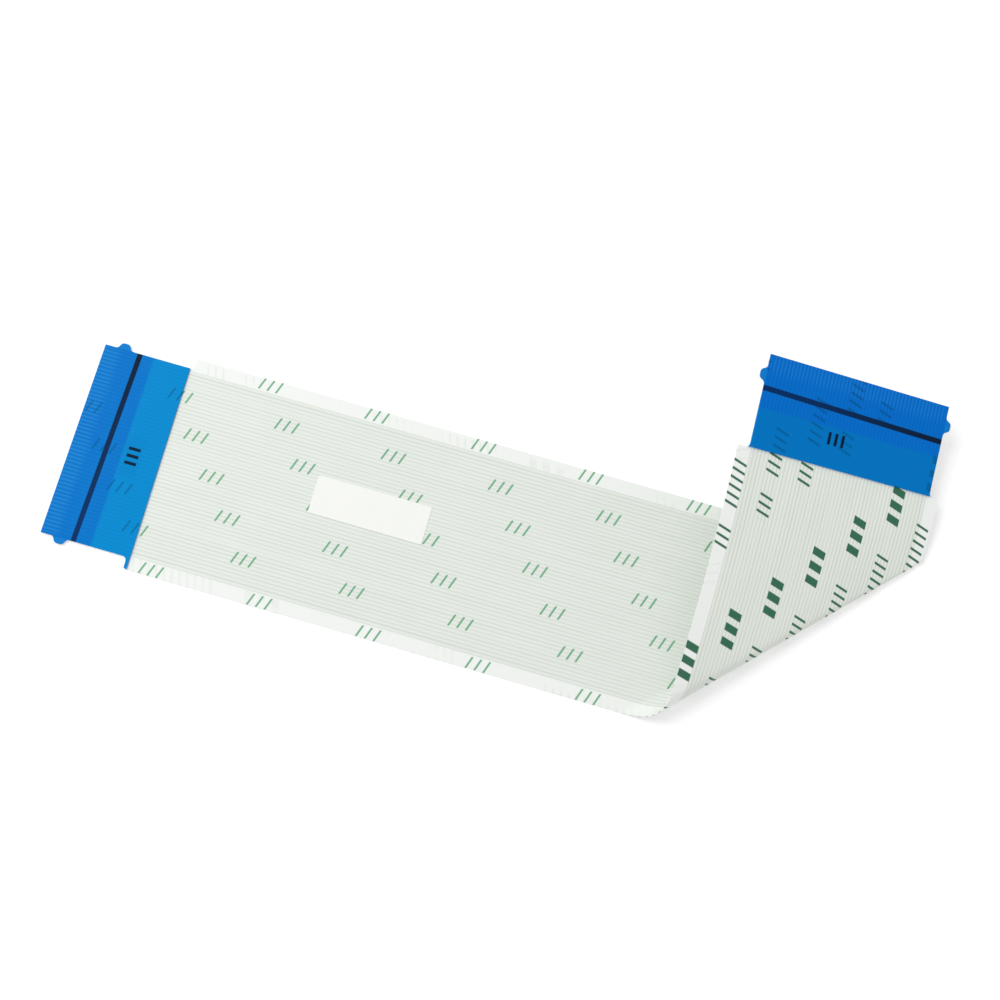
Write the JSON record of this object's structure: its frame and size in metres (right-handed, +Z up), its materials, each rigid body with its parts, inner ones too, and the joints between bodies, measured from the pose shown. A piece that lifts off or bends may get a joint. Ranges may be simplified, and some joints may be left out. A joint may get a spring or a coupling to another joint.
{
  "type": "flat flex cable",
  "caption": "Flat ribbon cable of fine parallel conductors between two films, with blue stiffened plug ends, locating ears, a blank label and one soft diagonal fold.",
  "frame": {"origin": "middle of the bounding box in plan, at the height of the surface that the flat leg lies on", "axes": "+X along the flat leg, from end A towards the fold; +Z up, away from the surface it lies on; the raised leg runs towards +Y"},
  "size_m": [0.108, 0.0482, 0.012],
  "materials": {
    "film": "satin, milky, slightly green over the conductors",
    "stiffener": "satin blue film",
    "label": "matt white paper film",
    "conductor": "bright tin plate"
  },
  "bodies": {
    "root": {"upper_film": "film", "lower_film": "film", "stiffener_a": "stiffener", "stiffener_b": "stiffener", "label": "label", "conductor_01": "conductor", "conductor_02": "conductor", "conductor_03": "conductor", "conductor_04": "conductor", "conductor_05": "conductor", "conductor_06": "conductor", "conductor_07": "conductor", "conductor_08": "conductor", "conductor_09": "conductor", "conductor_10": "conductor", "conductor_11": "conductor", "conductor_12": "conductor", "conductor_13": "conductor", "conductor_14": "conductor", "conductor_15": "conductor", "conductor_16": "conductor", "conductor_17": "conductor", "conductor_18": "conductor", "conductor_19": "conductor", "conductor_20": "conductor", "conductor_21": "conductor", "conductor_22": "conductor", "conductor_23": "conductor", "conductor_24": "conductor", "conductor_25": "conductor", "conductor_26": "conductor", "conductor_27": "conductor", "conductor_28": "conductor", "conductor_29": "conductor", "conductor_30": "conductor", "conductor_31": "conductor", "conductor_32": "conductor", "conductor_33": "conductor", "conductor_34": "conductor", "conductor_35": "conductor", "conductor_36": "conductor", "conductor_37": "conductor", "conductor_38": "conductor", "conductor_39": "conductor", "conductor_40": "conductor", "conductor_41": "conductor", "conductor_42": "conductor", "conductor_43": "conductor", "conductor_44": "conductor", "conductor_45": "conductor", "conductor_46": "conductor", "conductor_47": "conductor", "conductor_48": "conductor", "conductor_49": "conductor", "conductor_50": "conductor"}
  },
  "joints": []
}
